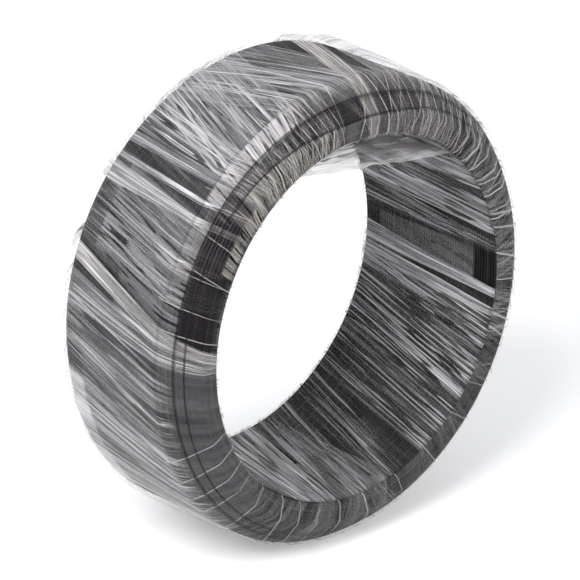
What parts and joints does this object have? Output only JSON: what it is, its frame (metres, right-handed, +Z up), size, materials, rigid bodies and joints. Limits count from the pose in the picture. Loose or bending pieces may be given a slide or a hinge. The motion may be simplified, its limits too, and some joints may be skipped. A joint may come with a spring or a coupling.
{
  "type": "coil of bonsai training wire",
  "caption": "Close-wound ring of dark anodised aluminium training wire with stepped shoulders and an open bore, wrapped all round in clear stretch film.",
  "frame": {"origin": "the point on the floor midway below the coil, under its centre", "axes": "+Y along the coil's axis, +Z up; the rim stands on the floor at z = 0 and the end faces look along -Y and +Y"},
  "size_m": [0.16, 0.0644, 0.16],
  "materials": {
    "wire": "black-brown anodised aluminium, satin",
    "film": "clear polyethylene stretch film, several passes, glossy and slightly hazy"
  },
  "bodies": {
    "root": {"wire_coil": "wire", "stretch_wrap": "film"}
  },
  "joints": []
}
